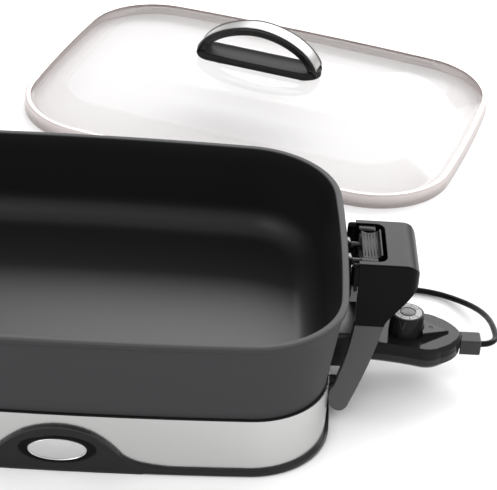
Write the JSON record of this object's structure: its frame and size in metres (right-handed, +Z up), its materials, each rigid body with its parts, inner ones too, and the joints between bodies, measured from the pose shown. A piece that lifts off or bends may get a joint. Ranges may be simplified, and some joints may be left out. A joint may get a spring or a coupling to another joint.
{
  "type": "electric skillet",
  "caption": "Electric skillet: a deep cast pan on a steel-banded base with swinging handles, a plug-in heat control with a dial and cord, and a lift-off domed glass lid.",
  "frame": {"origin": "centre of the base's footprint on the table", "axes": "+Z up, +X towards the heat control, -Y towards the front with the badge; the lid lies behind at +Y"},
  "size_m": [0.6385, 0.7742, 0.1184],
  "materials": {
    "nonstick_cast": "matte non-stick coating on cast aluminium",
    "brushed_band": "brushed stainless steel",
    "satin_black": "satin moulded phenolic",
    "gloss_black": "high gloss moulded plastic",
    "charcoal_plastic": "fine textured satin plastic",
    "badge_metal": "brushed plate",
    "plated_wire": "nickel plated steel",
    "element_sheath": "heat treated steel sheath",
    "shield_sheet": "aluminised steel sheet",
    "rubber": "moulded rubber",
    "lens": "tinted lens",
    "dial_silver": "satin silver",
    "cord_jacket": "flexible vinyl",
    "lid_glass": "clear tempered glass",
    "lid_steel": "polished stainless steel"
  },
  "bodies": {
    "base": {"base_skirt": "satin_black", "steel_band": "brushed_band", "badge_bezel": "gloss_black", "badge_plate": "badge_metal", "heat_shield": "shield_sheet", "rubber_feet": "rubber", "base_screws": "plated_wire", "hinge_pins": "plated_wire", "pan_shell": "nonstick_cast", "heating_element": "element_sheath", "terminal_pins": "plated_wire", "sensor_sleeve": "plated_wire", "socket_guard": "satin_black", "guard_screws": "plated_wire", "pan_loop_left": "plated_wire", "pan_loop_right": "plated_wire"},
    "handle_right": {"handle_right_frame": "charcoal_plastic", "handle_right_grip": "gloss_black", "handle_right_screws": "plated_wire"},
    "handle_left": {"handle_left_frame": "charcoal_plastic", "handle_left_grip": "gloss_black", "handle_left_screws": "plated_wire"},
    "latch_right": {"latch_button_right": "gloss_black"},
    "latch_left": {"latch_button_left": "gloss_black"},
    "probe": {"probe_upper_case": "gloss_black", "probe_lower_case": "gloss_black", "pilot_lens": "lens", "sensor_rod": "plated_wire", "probe_contacts": "plated_wire", "thermostat_block": "charcoal_plastic", "strain_relief": "charcoal_plastic", "power_cord": "cord_jacket", "cord_coil": "cord_jacket", "cord_tie": "rubber", "plug_body": "cord_jacket", "plug_blades": "plated_wire"},
    "dial": {"dial_knob": "gloss_black", "dial_cap": "dial_silver", "dial_shaft": "plated_wire"},
    "lid": {"lid_rim": "lid_steel", "lid_glass": "lid_glass", "lid_handle_base": "gloss_black", "lid_handle_arch": "gloss_black", "lid_handle_trim": "lid_steel", "lid_screws": "plated_wire", "lid_washers": "rubber"}
  },
  "joints": [
    {"name": "handle_right_swing", "type": "hinge", "parent": "base", "child": "handle_right", "pos_m": [0.209, 0, 0.0165], "axis": [0, 1, 0], "range_deg": [0, 7]},
    {"name": "handle_left_swing", "type": "hinge", "parent": "base", "child": "handle_left", "pos_m": [-0.209, 0, 0.0165], "axis": [0, -1, 0], "range_deg": [0, 50]},
    {"name": "latch_right_slide", "type": "slide", "parent": "handle_right", "child": "latch_right", "axis": [1, 0, 0], "range_m": [0, 0.0025], "stiffness_N_per_m": 600},
    {"name": "latch_left_slide", "type": "slide", "parent": "handle_left", "child": "latch_left", "axis": [-1, 0, 0], "range_m": [0, 0.0025], "stiffness_N_per_m": 600},
    {"name": "probe_pull", "type": "slide", "parent": "base", "child": "probe", "axis": [1, 0, 0], "range_m": [0, 0.075]},
    {"name": "dial_turn", "type": "hinge", "parent": "probe", "child": "dial", "pos_m": [0.2622, 0, 0.045], "axis": [0, 0, -1], "range_deg": [0, 300]},
    {"name": "lid_lift", "type": "slide", "parent": "base", "child": "lid", "axis": [0, 0, 1], "range_m": [0, 0.25]}
  ]
}
